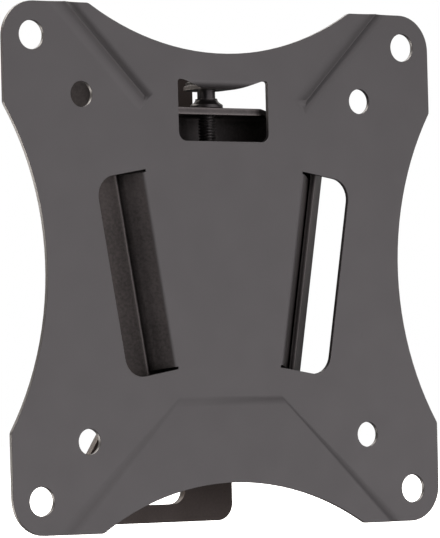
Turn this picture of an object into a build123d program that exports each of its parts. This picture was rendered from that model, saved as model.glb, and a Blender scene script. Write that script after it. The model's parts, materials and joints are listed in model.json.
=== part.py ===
"""Tilting wall bracket for a small flat screen.

A square screen plate hooks into a V-shaped tilt channel with two folded
dovetail tabs.  The channel hangs between the ears of a wall plate on two
friction pivots, and an upright bolt locks the screen plate down into the V.

Frame: the wall is the plane y = 0, the screen side is -Y, +X is to the right
and +Z is up.  z = 0 is the height of the middle of the hole pattern and of
the tilt axis.  "Depth" is measured back from the front of the screen plate.
All sizes are in millimetres.
"""
import os
from math import cos, radians, sin, tan

from build123d import *

# Overall standoff
WALL_GAP = 30.0             # front of the screen plate to the front of the wall plate
WALL_SHEET = 2.0            # wall plate thickness
FRONT_Y = -(WALL_GAP + WALL_SHEET)

# Screen plate
PLATE_SIZE = 114.7
PLATE_SHEET = 1.0
PLATE_CORNER_R = 8.0
PLATE_CORNER_ROUNDING = 1.5  # where a hollow side meets a straight pad edge
HOLLOW_HALF_CHORD = 35.2
HOLLOW_DEPTH = 10.05
HOLE_MARGIN = 7.35          # outer holes to the edges of the plate
LARGE_PATTERN = PLATE_SIZE - 2 * HOLE_MARGIN
LARGE_HOLE_D = 6.3
SMALL_PATTERN = 75.0
SMALL_HOLE_D = 5.6
PLATE_BEND_R = 0.8          # inside radius of the lock tab's fold

# Window and lock tab
WINDOW_WIDTH = 24.2
WINDOW_HEIGHT = 13.5
WINDOW_BRIDGE = 5.9         # between the window and the hollow upper edge of the plate
WINDOW_TOP_Z = PLATE_SIZE / 2 - HOLLOW_DEPTH - WINDOW_BRIDGE
WINDOW_LOW_Z = WINDOW_TOP_Z - WINDOW_HEIGHT
WINDOW_CORNER_R = 2.0
WINDOW_TOP_R = 0.6
TAB_INSET = 1.2             # from the window's side to the root of the tab
TAB_HALF = 4.8              # half width of the tab behind its fold
TAB_SHOULDER = 2.3          # length over which the root narrows to the tab
TAB_SHOULDER_SAG = 0.25     # how hollow that narrowing is
TAB_REACH = 11.2            # depth of the tip of the lock tab
TAB_CORNER_R = 4.0

# Two ribs and a raised field pressed into the screen plate
RIB_HEIGHT = 1.2
RIB_HALF_WIDTH = 3.0
RIB_PROFILE = ((0, 1), (0.17, 0.68), (0.37, 0.39), (0.63, 0.14), (1, 0))  # shares of half width and height
RIB_RUN_OUT = 0.6           # slope at the inner end of a rib
RIB_DROP = 5.4              # from the window's upper edge down to the ends of the ribs
RIB_END_Z = WINDOW_TOP_Z - RIB_DROP
CREST_INSET = 15.4          # all crests run at 45 degrees, this far beside the plate's diagonals
FIELD_HEIGHT = 1.2          # at the lower edge of the plate
FIELD_END_HEIGHT = 0.35     # at the upper end of the field
FIELD_END_Z = -30.5
FIELD_RAMP = 0.62           # slope beside the crests
FIELD_FOOT = 0.22           # slope at the foot of the ramps
FIELD_FOOT_SHARE = 0.61     # height of the foot's slope under the crest, as a share of the field's height
FIELD_END_RAMP = 0.15

# Dovetail slots and tabs
DOVETAIL_SLANT = 9.7        # degrees off the upright, closing downwards
DOVETAIL_FLARE = 45.0       # degrees the tabs are folded back
DOVETAIL_MID_X = 17.6       # fold line at z = 0
DOVETAIL_BEND_R = 0.3       # inside radius of the tabs' folds
SLOT_LENGTH = 44.2
SLOT_DROP = 0.35            # middle of the slots below the middle of the plate
SLOT_WIDTH = 13.3
SLOT_CORNER_R = 4.5
SHEAR_GAP = 0.5
TAB_END_R = 3.5

# Tilt channel
CHANNEL_SHEET = 1.2
CHANNEL_BEND_R = 1.0
CHANNEL_DEPTH = 12.0        # front of the channel's back
DOVETAIL_PLAY = 0.3         # between tab and lip, square to them
LIP_START = 5.5             # from the tab's fold to the free edge of the lip
CHANNEL_LOW_Z = -33.0
ARM_GAP_HALF = 22.0
ARM_GAP_R = 0.7
SHELF_HALF = 12.0           # at its front
SHELF_ROOT_HALF = 20.5
SHELF_DROP = 5.9            # from the window's upper edge down to the top of the shelf
SHELF_TOP_Z = WINDOW_TOP_Z - SHELF_DROP
ARM_RISE = 6.5              # from the top of the shelf up to the ends of the arms
CHANNEL_ARM_Z = SHELF_TOP_Z + ARM_RISE
SHELF_FRONT_DEPTH = 2.6
SHELF_RIM = 0.4             # how far the front edge of the shelf is turned down
SHELF_RIM_DEPTH = 1.0
SHELF_CORNER_R = 1.5
SHELF_RELIEF = 2.0

# Wall plate
WALL_BEND_R = 1.0
WALL_TOP_Z = 48.0
WALL_LOW_Z = -56.3
WALL_HALF_WIDTH = 12.7
WALL_TOP_R = 6.0
FOOT_HALF_WIDTH = 21.0
FOOT_SHOULDER_Z = -45.5
WAIST_Z = -33.0
FOOT_CORNER_R = 4.0
SHOULDER_R = 4.0
WALL_HOLE_D = 6.4
WALL_HOLE_Z = 41.5
WALL_SLOT_LENGTH = 15.8
WALL_SLOT_Z = -49.0

# Tilt pivots
PIVOT_DEPTH = 21.0
PIVOT_D = 5.0
PIVOT_RUNNING_PLAY = 0.15   # on the diameter, in the ears that turn
PIVOT_BOLT_PLAY = 0.5       # on the diameter, in the ears that stay
WALL_EAR_HALF_SPAN = 14.0   # outer face of a wall ear
WALL_EAR_ROOT_HALF = 15.0
WALL_EAR_TIP_R = 7.0
WALL_EAR_RELIEF = 1.5
FRICTION_WASHER_T = 1.0
FRICTION_WASHER_D = 14.0
SLIDING_PLAY = 0.02         # between faces that turn on each other
TILT_LIMIT = 15.0           # degrees each way
TILT_STOP_PLAY = 0.35       # left between channel ear and wall plate at the limit
CHANNEL_EAR_HALF = 8.0
CHANNEL_EAR_CORNER_R = 1.0
WASHER_T = 1.0
WASHER_D = 10.0
DISC_SPRING_T = 0.5
DISC_SPRING_H = 0.8
HEX_AF = 8.0
HEX_CHAMFER = 30.0          # degrees, on the corners of heads and nuts
BOLT_HEAD_H = 3.5
PIVOT_BOLT_LENGTH = 14.0
NUT_H = 5.0
NUT_HEX_H = 3.6
INSERT_H = 1.1
INSERT_WALL = 0.7
NUT_LIP = 0.4
THREAD_PLAY = 0.1           # on the diameter, between bolt and nut, and ring and nut

# Lock bolt
LOCK_D = 4.0
LOCK_DEPTH = 6.6
LOCK_LENGTH = 20.0
LOCK_HOLE_D = 4.5
LOCK_HEAD_D = 8.0
LOCK_HEAD_H = 2.6
LOCK_HEAD_CHAMFER = 1.3
LOCK_SOCKET_ARM = 4.4
LOCK_SOCKET_WIDTH = 1.1
LOCK_SOCKET_DEPTH = 1.5
LOCK_SOCKET_TAPER = 15.0    # degrees
LOCK_WASHER_D = 9.0
LOCK_WASHER_T = 0.8
LOCK_NUT_D = 7.3
LOCK_NUT_TOP_D = 4.9
LOCK_NUT_RIM = 0.7          # height of the upright rim below the cone
LOCK_NUT_H = 2.2

# Worked out from the sizes above
PLATE_OUTER_R = PLATE_BEND_R + PLATE_SHEET
DOVETAIL_OUTER_R = DOVETAIL_BEND_R + PLATE_SHEET
CHANNEL_OUTER_R = CHANNEL_BEND_R + CHANNEL_SHEET
WALL_OUTER_R = WALL_BEND_R + WALL_SHEET
PIVOT_Y = FRONT_Y + PIVOT_DEPTH
CHANNEL_EAR_OUTER = WALL_EAR_HALF_SPAN - WALL_SHEET - FRICTION_WASHER_T - 2 * SLIDING_PLAY
CHANNEL_EAR_INNER = CHANNEL_EAR_OUTER - CHANNEL_SHEET
INNER_WASHER_X = CHANNEL_EAR_INNER - SLIDING_PLAY
TAB_UNDER_Z = WINDOW_TOP_Z - PLATE_OUTER_R
TAB_TOP_Z = TAB_UNDER_Z + PLATE_SHEET
LOCK_HEAD_Z = TAB_TOP_Z + LOCK_WASHER_T
CUT = 200.0                 # longer than the part, for cuts that go right through
NEAR = 0.01                 # closer than this is the same place
QUARTER_MID = cos(radians(45))  # middle of a right-angled fold, on a unit circle


def facing_front(depth, x=0.0, z=0.0, across=(1, 0, 0)):
    """Sketch plane parallel to the wall: local x across, local y up, normal to the screen."""
    return Plane((x, FRONT_Y + depth, z), x_dir=across, z_dir=(0, -1, 0))


def facing_side(x):
    """Sketch plane square to the tilt axis: local x is +Y, local y is +Z, normal +X."""
    return Plane((x, 0, 0), x_dir=(0, 1, 0), z_dir=(1, 0, 0))


def sheet(sketch, depth, thickness, plane=None):
    """A flat sheet with its front face at the given depth."""
    plane = plane or facing_front(depth)
    return extrude(plane * sketch, amount=-thickness)


def both_sides(right):
    """The piece and its mirror image on the left."""
    return right + mirror(right, about=Plane.YZ)


def half_space(inside, normal):
    """A large block that ends at the plane through the point, on the side away from the normal."""
    plane = Plane(inside, z_dir=normal)
    return plane * Pos(0, 0, -CUT / 2) * Box(2 * CUT, 2 * CUT, CUT)


def slant_axes():
    """Outward and upward directions of the right-hand dovetail, in the plane of the plate."""
    slant = radians(DOVETAIL_SLANT)
    outward = Vector(cos(slant), 0, -sin(slant))
    upward = Vector(sin(slant), 0, cos(slant))
    return outward, upward


def dovetail_section_plane(rise=0.0):
    """Section plane across the right-hand dovetail: local x outward, local y is depth."""
    outward, upward = slant_axes()
    return Plane(Vector(DOVETAIL_MID_X, FRONT_Y, 0) + upward * rise, x_dir=outward, z_dir=upward)


def flare_directions():
    """Direction down the flare and the outward normal, in the dovetail section plane."""
    flare = radians(DOVETAIL_FLARE)
    return Vector(cos(flare), sin(flare)), Vector(sin(flare), -cos(flare))


# Screen plate
def hollow_square():
    """Square outline with rounded corners and a shallow arc taken out of each side."""
    radius = (HOLLOW_HALF_CHORD**2 + HOLLOW_DEPTH**2) / (2 * HOLLOW_DEPTH)
    reach = PLATE_SIZE / 2 - HOLLOW_DEPTH + radius
    outline = RectangleRounded(PLATE_SIZE, PLATE_SIZE, PLATE_CORNER_R)
    for turn in range(4):
        outline -= Rot(0, 0, 90 * turn) * Pos(reach, 0) * Circle(radius)
    meeting = [v for v in outline.vertices() if min(abs(v.X), abs(v.Y)) < HOLLOW_HALF_CHORD + NEAR]
    return fillet(meeting, PLATE_CORNER_ROUNDING)


def rib(start, end, height):
    """Sharp-crested ridge in front of the plate from start to end, both (x, z), running out at the end."""
    run = Vector(end[0] - start[0], 0, end[1] - start[1])
    along = run.normalized()
    plane = Plane((start[0], FRONT_Y, start[1]), x_dir=(along.Z, 0, -along.X), z_dir=along)
    root = PLATE_SHEET / 4
    right = [(share * RIB_HALF_WIDTH, -rise * height) for share, rise in RIB_PROFILE]
    left = [(-x, y) for x, y in reversed(right[1:])]
    section = Polygon((-RIB_HALF_WIDTH, root), *left, *right, (RIB_HALF_WIDTH, root), align=None)
    ridge = extrude(plane * section, amount=run.length)
    return ridge & half_space((end[0], FRONT_Y, end[1]), tuple(along * RIB_RUN_OUT + Vector(0, -1, 0)))


def upper_ribs():
    """Two slanted ribs that come in from the upper edge of the plate."""
    edge = PLATE_SIZE / 2 + RIB_HALF_WIDTH
    return both_sides(rib((edge - CREST_INSET, edge), (RIB_END_Z - CREST_INSET, RIB_END_Z), RIB_HEIGHT))


def field_layer(slope, share):
    """Field that rises towards the lower edge; its side ramps start at a share of its height."""
    rise = (FIELD_HEIGHT - FIELD_END_HEIGHT) / (PLATE_SIZE / 2 + FIELD_END_Z)
    end_x = -FIELD_END_Z - CREST_INSET
    layer = half_space((0, FRONT_Y, 0), (0, 1, 0))
    layer &= half_space((0, FRONT_Y - FIELD_END_HEIGHT, FIELD_END_Z), (0, -1, rise))
    layer &= half_space((0, FRONT_Y - FIELD_END_HEIGHT, FIELD_END_Z), (0, -1, FIELD_END_RAMP))
    for side in (1, -1):
        along = Vector(side * QUARTER_MID, 0, -QUARTER_MID)
        out = Vector(side * QUARTER_MID, 0, QUARTER_MID)
        ramp = Vector(0, -1, 0) + out * slope - along * (share * rise * QUARTER_MID)
        layer &= half_space((side * end_x, FRONT_Y - share * FIELD_END_HEIGHT, FIELD_END_Z), tuple(ramp))
    return layer


def lower_field():
    """Raised field between two slanted crests and a faint level one, with hollow ramps beside it."""
    return field_layer(FIELD_RAMP, 1) + field_layer(FIELD_FOOT, FIELD_FOOT_SHARE)


def window_outline():
    """Window with rounded corners, the lower ones wider."""
    middle_z = (WINDOW_LOW_Z + WINDOW_TOP_Z) / 2
    outline = Pos(0, middle_z) * Rectangle(WINDOW_WIDTH, WINDOW_HEIGHT)
    outline = fillet(outline.vertices().group_by(Axis.Y)[0], WINDOW_CORNER_R)
    return fillet(outline.vertices().group_by(Axis.Y)[-1], WINDOW_TOP_R)


def lock_tab_blank():
    """Outline of the lock tab, seen along the middle of its fold: a wide root that narrows to the tab."""
    root_half = WINDOW_WIDTH / 2 - TAB_INSET
    root, neck = Vector(root_half, 0), Vector(TAB_HALF, TAB_SHOULDER)
    hollow = Vector(-TAB_SHOULDER, TAB_HALF - root_half).normalized() * TAB_SHOULDER_SAG
    shoulder = ThreePointArc(root, (root + neck) / 2 + hollow, neck)
    above = Polyline((0, -CUT), (root_half, -CUT), root)
    below = Polyline(neck, (TAB_HALF, CUT), (0, CUT))
    half = make_face([above, shoulder, below, Line(below @ 1, above @ 0)])
    return half + mirror(half, about=Plane.YZ)


def lock_tab():
    """Tab folded back from the window's upper edge, with a hole for the lock bolt."""
    centre = Vector(FRONT_Y + PLATE_OUTER_R, WINDOW_TOP_Z)
    mid = Vector(-QUARTER_MID, -QUARTER_MID)
    tip = FRONT_Y + TAB_REACH
    outer = ThreePointArc((FRONT_Y, WINDOW_TOP_Z), centre + mid * PLATE_OUTER_R, (centre.X, TAB_UNDER_Z))
    under = Line(outer @ 1, (tip, TAB_UNDER_Z))
    end = Line(under @ 1, (tip, TAB_TOP_Z))
    upper = Line(end @ 1, (centre.X, TAB_TOP_Z))
    inner = ThreePointArc(upper @ 1, centre + mid * PLATE_BEND_R, (FRONT_Y + PLATE_SHEET, WINDOW_TOP_Z))
    root = Line(inner @ 1, outer @ 0)
    profile = make_face([outer, under, end, upper, inner, root])
    folded = extrude(facing_side(0) * profile, amount=WINDOW_WIDTH / 2, both=True)
    along_fold_middle = Plane((0, FRONT_Y, WINDOW_TOP_Z), x_dir=(1, 0, 0), z_dir=(0, 1, 1))
    folded &= extrude(along_fold_middle * lock_tab_blank(), amount=CUT, both=True)
    folded = fillet(folded.edges().filter_by(Axis.Z).group_by(Axis.Y)[-1], TAB_CORNER_R)
    return folded - lock_hole()


def lock_hole():
    """Clearance hole for the lock bolt, through everything on its line."""
    return Pos(0, FRONT_Y + LOCK_DEPTH, 0) * Cylinder(LOCK_HOLE_D / 2, CUT)


def dovetail_slot():
    """Outline of the right-hand slot that a dovetail tab is sheared from."""
    slot = Pos(SLOT_WIDTH / 2, -SLOT_DROP) * Rectangle(SLOT_WIDTH, SLOT_LENGTH)
    return fillet(slot.vertices().group_by(Axis.X)[-1], SLOT_CORNER_R)


def dovetail_tab():
    """Right-hand tab, folded back and outward to make one side of the dovetail."""
    along, normal = flare_directions()
    half_turn = radians(DOVETAIL_FLARE / 2)
    centre = Vector(0, DOVETAIL_OUTER_R)
    toward = Vector(sin(half_turn), -cos(half_turn))
    bend_length = radians(DOVETAIL_FLARE) * (DOVETAIL_BEND_R + PLATE_SHEET / 2)
    flat = SLOT_WIDTH - SHEAR_GAP - bend_length
    front_end = centre + normal * DOVETAIL_OUTER_R
    back_end = centre + normal * DOVETAIL_BEND_R
    outer = ThreePointArc((0, 0), centre + toward * DOVETAIL_OUTER_R, front_end)
    front = Line(front_end, front_end + along * flat)
    tip = Line(front @ 1, back_end + along * flat)
    back = Line(tip @ 1, back_end)
    inner = ThreePointArc(back_end, centre + toward * DOVETAIL_BEND_R, (0, PLATE_SHEET))
    root = Line((0, PLATE_SHEET), (0, 0))
    profile = make_face([outer, front, tip, back, inner, root])
    plane = dovetail_section_plane(-SLOT_DROP)
    tab = extrude(plane * profile, amount=SLOT_LENGTH / 2 - SHEAR_GAP, both=True)
    through = plane.x_dir * normal.X + plane.y_dir * normal.Y
    corners = tab.edges().filter_by(Axis((0, 0, 0), tuple(through)))
    return fillet(corners, TAB_END_R)


def vesa_plate():
    """The screen plate, one folded and pressed sheet."""
    outline = hollow_square()
    body = sheet(outline, 0, PLATE_SHEET)
    pressed = (upper_ribs() + lower_field()) & sheet(outline, -2 * RIB_HEIGHT, 4 * RIB_HEIGHT)
    body = body + pressed - Pos(0, PLATE_SHEET, 0) * pressed
    holes = GridLocations(LARGE_PATTERN, LARGE_PATTERN, 2, 2) * Circle(LARGE_HOLE_D / 2)
    holes += GridLocations(SMALL_PATTERN, SMALL_PATTERN, 2, 2) * Circle(SMALL_HOLE_D / 2)
    cuts = Sketch() + holes + window_outline()
    body -= sheet(cuts, -2 * RIB_HEIGHT, 4 * RIB_HEIGHT)
    outward, _ = slant_axes()
    slot_plane = facing_front(-PLATE_SHEET, DOVETAIL_MID_X, 0, outward)
    body -= both_sides(sheet(dovetail_slot(), 0, 3 * PLATE_SHEET, slot_plane))
    return body + both_sides(dovetail_tab()) + lock_tab()


# Tilt channel
def lip_geometry():
    """Points of the channel's folded lip in the dovetail section plane."""
    along, normal = flare_directions()
    start = Vector(0, DOVETAIL_OUTER_R) + normal * (DOVETAIL_OUTER_R + DOVETAIL_PLAY)
    free_edge = start + along * LIP_START
    centre_w = CHANNEL_DEPTH - CHANNEL_BEND_R
    centre_u = start.X + ((centre_w - start.Y) * along.X - CHANNEL_BEND_R) / normal.X
    return free_edge, Vector(centre_u, centre_w), normal


def lip():
    """Right-hand lip and its fold, ending on the flat back of the channel."""
    free_edge, centre, normal = lip_geometry()
    half = radians(DOVETAIL_FLARE / 2)
    toward = Vector(cos(half), sin(half))
    inner_end = centre + normal * CHANNEL_BEND_R
    outer_end = centre + normal * CHANNEL_OUTER_R
    inside = Line(free_edge, inner_end)
    inner = ThreePointArc(inner_end, centre + toward * CHANNEL_BEND_R, (centre.X, CHANNEL_DEPTH))
    root = Line(inner @ 1, (centre.X, CHANNEL_DEPTH + CHANNEL_SHEET))
    outer = ThreePointArc(root @ 1, centre + toward * CHANNEL_OUTER_R, outer_end)
    outside = Line(outer_end, free_edge + normal * CHANNEL_SHEET)
    edge = Line(outside @ 1, free_edge)
    profile = make_face([inside, inner, root, outer, outside, edge])
    long_lip = extrude(dovetail_section_plane() * profile, amount=CUT / 2, both=True)
    height = CHANNEL_ARM_Z - CHANNEL_LOW_Z
    return long_lip & Pos(0, 0, CHANNEL_LOW_Z + height / 2) * Box(CUT, CUT, height)


def back_edge_x(z):
    """Half width of the channel's flat back, where the lip's fold starts, at a height."""
    _, centre, _ = lip_geometry()
    slant = radians(DOVETAIL_SLANT)
    return DOVETAIL_MID_X + centre.X / cos(slant) + z * tan(slant)


def channel_back():
    """Flat back between the lips, with a gap between the two arms at the top."""
    shoulder_z = SHELF_TOP_Z - CHANNEL_OUTER_R - SHELF_RELIEF
    outline = Polygon(
        (-back_edge_x(CHANNEL_LOW_Z), CHANNEL_LOW_Z), (back_edge_x(CHANNEL_LOW_Z), CHANNEL_LOW_Z),
        (back_edge_x(CHANNEL_ARM_Z), CHANNEL_ARM_Z), (-back_edge_x(CHANNEL_ARM_Z), CHANNEL_ARM_Z),
        align=None,
    )
    gap_height = 2 * (CHANNEL_ARM_Z - shoulder_z)
    gap = RectangleRounded(2 * ARM_GAP_HALF, gap_height, ARM_GAP_R)
    outline -= Pos(0, CHANNEL_ARM_Z) * gap
    neck_height = SHELF_TOP_Z - CHANNEL_OUTER_R - shoulder_z
    outline += Pos(0, shoulder_z + neck_height / 2) * Rectangle(2 * SHELF_ROOT_HALF, neck_height)
    return sheet(outline, CHANNEL_DEPTH, CHANNEL_SHEET)


def shelf():
    """Shelf folded forward from the top of the back, with a turned-down rim and the lock bolt's hole."""
    centre = Vector(FRONT_Y + CHANNEL_DEPTH - CHANNEL_BEND_R, SHELF_TOP_Z - CHANNEL_OUTER_R)
    toward = Vector(QUARTER_MID, QUARTER_MID)
    front_y = FRONT_Y + SHELF_FRONT_DEPTH
    under_z = SHELF_TOP_Z - CHANNEL_SHEET
    outer = ThreePointArc(
        (centre.X + CHANNEL_OUTER_R, centre.Y), centre + toward * CHANNEL_OUTER_R, (centre.X, SHELF_TOP_Z)
    )
    top = Line(outer @ 1, (front_y, SHELF_TOP_Z))
    rim = Polyline(top @ 1, (front_y, under_z - SHELF_RIM), (front_y + SHELF_RIM_DEPTH, under_z))
    under = Line(rim @ 1, (centre.X, under_z))
    inner = ThreePointArc(
        under @ 1, centre + toward * CHANNEL_BEND_R, (centre.X + CHANNEL_BEND_R, centre.Y)
    )
    root = Line(inner @ 1, outer @ 0)
    profile = make_face([outer, top, rim, under, inner, root])
    folded = extrude(facing_side(0) * profile, amount=SHELF_ROOT_HALF, both=True)
    back_y = FRONT_Y + CHANNEL_DEPTH + CHANNEL_SHEET
    plan = Polygon(
        (SHELF_ROOT_HALF, back_y), (SHELF_ROOT_HALF, centre.X), (SHELF_HALF, front_y),
        (-SHELF_HALF, front_y), (-SHELF_ROOT_HALF, centre.X), (-SHELF_ROOT_HALF, back_y), align=None,
    )
    plan = fillet(plan.vertices().group_by(Axis.Y)[0], SHELF_CORNER_R)
    folded &= extrude(Pos(0, 0, centre.Y) * plan, amount=CHANNEL_OUTER_R, both=True)
    return folded - lock_hole()


def channel_ear_reach():
    """How far a channel ear runs past the pivot, so that its corner stops the tilt at the limit."""
    tilt = radians(TILT_LIMIT)
    room = WALL_GAP - PIVOT_DEPTH - TILT_STOP_PLAY
    return (room - CHANNEL_EAR_HALF * sin(tilt)) / cos(tilt)


def channel_ear():
    """Right-hand ear, sheared from the back and folded towards the wall."""
    centre = Vector(CHANNEL_EAR_OUTER - CHANNEL_OUTER_R, FRONT_Y + CHANNEL_DEPTH + CHANNEL_OUTER_R)
    toward = Vector(QUARTER_MID, -QUARTER_MID)
    end_y = PIVOT_Y + channel_ear_reach()
    outer = ThreePointArc(
        (centre.X, centre.Y - CHANNEL_OUTER_R), centre + toward * CHANNEL_OUTER_R,
        (CHANNEL_EAR_OUTER, centre.Y),
    )
    outside = Line(outer @ 1, (CHANNEL_EAR_OUTER, end_y))
    end = Line(outside @ 1, (CHANNEL_EAR_INNER, end_y))
    inside = Line(end @ 1, (CHANNEL_EAR_INNER, centre.Y))
    inner = ThreePointArc(
        inside @ 1, centre + toward * CHANNEL_BEND_R, (centre.X, centre.Y - CHANNEL_BEND_R)
    )
    root = Line(inner @ 1, outer @ 0)
    profile = make_face([outer, outside, end, inside, inner, root])
    ear = extrude(profile, amount=CHANNEL_EAR_HALF, both=True)
    corners = ear.edges().filter_by(Axis.X).group_by(Axis.Y)[-1]
    return fillet(corners, CHANNEL_EAR_CORNER_R)


def ear_opening():
    """Outline of the opening that the right-hand channel ear was sheared from."""
    fold_x = CHANNEL_EAR_OUTER - CHANNEL_OUTER_R
    bend_length = radians(90) * (CHANNEL_BEND_R + CHANNEL_SHEET / 2)
    straight = PIVOT_DEPTH + channel_ear_reach() - CHANNEL_DEPTH - CHANNEL_OUTER_R
    width = bend_length + straight + SHEAR_GAP
    height = 2 * (CHANNEL_EAR_HALF + SHEAR_GAP)
    opening = Pos(fold_x + width / 2, 0) * Rectangle(width, height)
    return fillet(opening.vertices().group_by(Axis.X)[-1], CHANNEL_EAR_CORNER_R)


def tilt_channel():
    """The V-shaped channel, one folded sheet with lips, arms, shelf and ears."""
    body = channel_back()
    body -= both_sides(sheet(ear_opening(), CHANNEL_DEPTH - CHANNEL_SHEET, 3 * CHANNEL_SHEET))
    body = body + both_sides(lip()) + both_sides(channel_ear()) + shelf()
    return body - pivot_hole(PIVOT_D + PIVOT_RUNNING_PLAY)


def pivot_hole(diameter):
    """Hole on the tilt axis, right through."""
    return Pos(0, PIVOT_Y, 0) * Rot(0, 90, 0) * Cylinder(diameter / 2, CUT)


# Wall plate
def wall_outline():
    """Narrow upright plate that widens to a foot, with the sides let in for the ears."""
    half = [
        (FOOT_HALF_WIDTH, WALL_LOW_Z), (FOOT_HALF_WIDTH, FOOT_SHOULDER_Z),
        (WALL_HALF_WIDTH, WAIST_Z), (WALL_HALF_WIDTH, WALL_TOP_Z),
    ]
    mirrored = [(-x, z) for x, z in reversed(half)]
    outline = Polygon(*half, *mirrored, align=None)
    rows = outline.vertices().group_by(Axis.Y)
    outline = fillet(rows[0], FOOT_CORNER_R)
    for z, radius in ((FOOT_SHOULDER_Z, SHOULDER_R), (WAIST_Z, SHOULDER_R), (WALL_TOP_Z, WALL_TOP_R)):
        row = [v for v in outline.vertices() if abs(v.Y - z) < NEAR]
        outline = fillet(row, radius)
    fold_x = WALL_EAR_HALF_SPAN - WALL_OUTER_R
    let_in = Rectangle(2 * (WALL_HALF_WIDTH - fold_x), 2 * (WALL_EAR_ROOT_HALF + WALL_EAR_RELIEF))
    for side in (1, -1):
        outline -= Pos(side * WALL_HALF_WIDTH, 0) * let_in
    outline -= Pos(0, WALL_HOLE_Z) * Circle(WALL_HOLE_D / 2)
    outline -= Pos(0, WALL_SLOT_Z) * SlotOverall(WALL_SLOT_LENGTH, WALL_HOLE_D)
    return outline


def wall_ear():
    """Right-hand ear, folded forward from the side of the wall plate and tapered to a round tip."""
    outer_x = WALL_EAR_HALF_SPAN
    inner_x = outer_x - WALL_SHEET
    centre = Vector(outer_x - WALL_OUTER_R, -WALL_OUTER_R)
    toward = Vector(QUARTER_MID, QUARTER_MID)
    tip_y = PIVOT_Y - WALL_EAR_TIP_R
    outer = ThreePointArc((centre.X, 0), centre + toward * WALL_OUTER_R, (outer_x, centre.Y))
    outside = Line(outer @ 1, (outer_x, tip_y))
    tip = Line(outside @ 1, (inner_x, tip_y))
    inside = Line(tip @ 1, (inner_x, centre.Y))
    inner = ThreePointArc(inside @ 1, centre + toward * WALL_BEND_R, (centre.X, -WALL_SHEET))
    root = Line(inner @ 1, outer @ 0)
    profile = make_face([outer, outside, tip, inside, inner, root])
    folded = extrude(profile, amount=WALL_EAR_ROOT_HALF, both=True)
    return folded & extrude(facing_side(0) * ear_taper(), amount=2 * outer_x)


def ear_taper():
    """Side outline of a wall ear: straight sides that touch the round tip."""
    base = [(0, WALL_EAR_ROOT_HALF), (-WALL_OUTER_R, WALL_EAR_ROOT_HALF)]
    corners = base + [(y, -z) for y, z in reversed(base)]
    edges = Polygon(*corners, align=None).edges() + (Pos(PIVOT_Y, 0) * Circle(WALL_EAR_TIP_R)).edges()
    return make_hull(edges)


def wall_plate():
    """The plate that is screwed to the wall, one folded sheet with two ears."""
    body = sheet(wall_outline(), WALL_GAP, WALL_SHEET) + both_sides(wall_ear())
    return body - pivot_hole(PIVOT_D + PIVOT_BOLT_PLAY)


# Pivot fasteners, made on the right with the axis along +X
def on_pivot(x, shape):
    """Put a piece made along +Z on the tilt axis, with its base at x."""
    return Pos(x, PIVOT_Y, 0) * Rot(0, 90, 0) * shape


def ring(outer_d, inner_d, height):
    """Flat ring standing on z = 0."""
    return extrude(Circle(outer_d / 2) - Circle(inner_d / 2), amount=height)


def rod(diameter, height):
    """Round bar standing on z = 0."""
    return Cylinder(diameter / 2, height, align=(Align.CENTER, Align.CENTER, Align.MIN))


def hexagon(across_flats, height):
    """Hexagonal prism standing on z = 0."""
    return extrude(RegularPolygon(across_flats / 2, 6, major_radius=False), amount=height)


def chamfered_hexagon(across_flats, height):
    """Hexagonal prism on z = 0 with the corners of its upper end taken off by a cone."""
    flat_r = across_flats / 2
    corner_r = flat_r / cos(radians(30))
    drop = (corner_r - flat_r) * tan(radians(HEX_CHAMFER))
    side = Polygon(
        (0, 0), (corner_r, 0), (corner_r, height - drop), (flat_r, height), (0, height), align=None
    )
    return hexagon(across_flats, height) & revolve(Plane.XZ * side, Axis.Z)


def pivot_bolt():
    """Hexagon bolt, head outside the wall ear, shank towards the middle."""
    head = chamfered_hexagon(HEX_AF, BOLT_HEAD_H)
    shank = Pos(0, 0, -PIVOT_BOLT_LENGTH) * rod(PIVOT_D, PIVOT_BOLT_LENGTH)
    return on_pivot(WALL_EAR_HALF_SPAN + WASHER_T, head + shank)


def pivot_washer():
    """Steel washer under the bolt head."""
    return on_pivot(WALL_EAR_HALF_SPAN, ring(WASHER_D, PIVOT_D + PIVOT_BOLT_PLAY, WASHER_T))


def friction_washer():
    """Plastic washer between the two ears."""
    inner = WALL_EAR_HALF_SPAN - WALL_SHEET - FRICTION_WASHER_T - SLIDING_PLAY
    return on_pivot(inner, ring(FRICTION_WASHER_D, PIVOT_D + PIVOT_BOLT_PLAY, FRICTION_WASHER_T))


def inner_washer():
    """Steel washer on the inside of the channel ear."""
    return on_pivot(INNER_WASHER_X - WASHER_T, ring(WASHER_D, PIVOT_D + PIVOT_BOLT_PLAY, WASHER_T))


def disc_spring():
    """Dished spring washer between the inner washer and the nut."""
    bore_r = (PIVOT_D + PIVOT_BOLT_PLAY) / 2
    rim_r = WASHER_D / 2
    dish = DISC_SPRING_H - DISC_SPRING_T
    profile = Polygon(
        (bore_r, 0), (rim_r, dish), (rim_r, dish + DISC_SPRING_T), (bore_r, DISC_SPRING_T), align=None
    )
    spring = revolve(Plane.XZ * profile, Axis.Z)
    return on_pivot(INNER_WASHER_X - WASHER_T - DISC_SPRING_H, spring)


def nut_base_x():
    """Inner end of the lock nut, towards the middle of the bracket."""
    return INNER_WASHER_X - WASHER_T - DISC_SPRING_H - NUT_H


def pivot_nut():
    """Lock nut: hexagon towards the ear, round collar that grips the plastic ring."""
    collar_h = NUT_H - NUT_HEX_H
    seat_d = PIVOT_D + 2 * INSERT_WALL
    body = rod(HEX_AF - 2 * NUT_LIP, collar_h) + Pos(0, 0, collar_h) * chamfered_hexagon(HEX_AF, NUT_HEX_H)
    body -= rod(PIVOT_D + THREAD_PLAY, NUT_H)
    body -= Pos(0, 0, collar_h - INSERT_H) * rod(seat_d, INSERT_H)
    body -= rod(seat_d - 2 * NUT_LIP, collar_h)
    return on_pivot(nut_base_x(), body)


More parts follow.
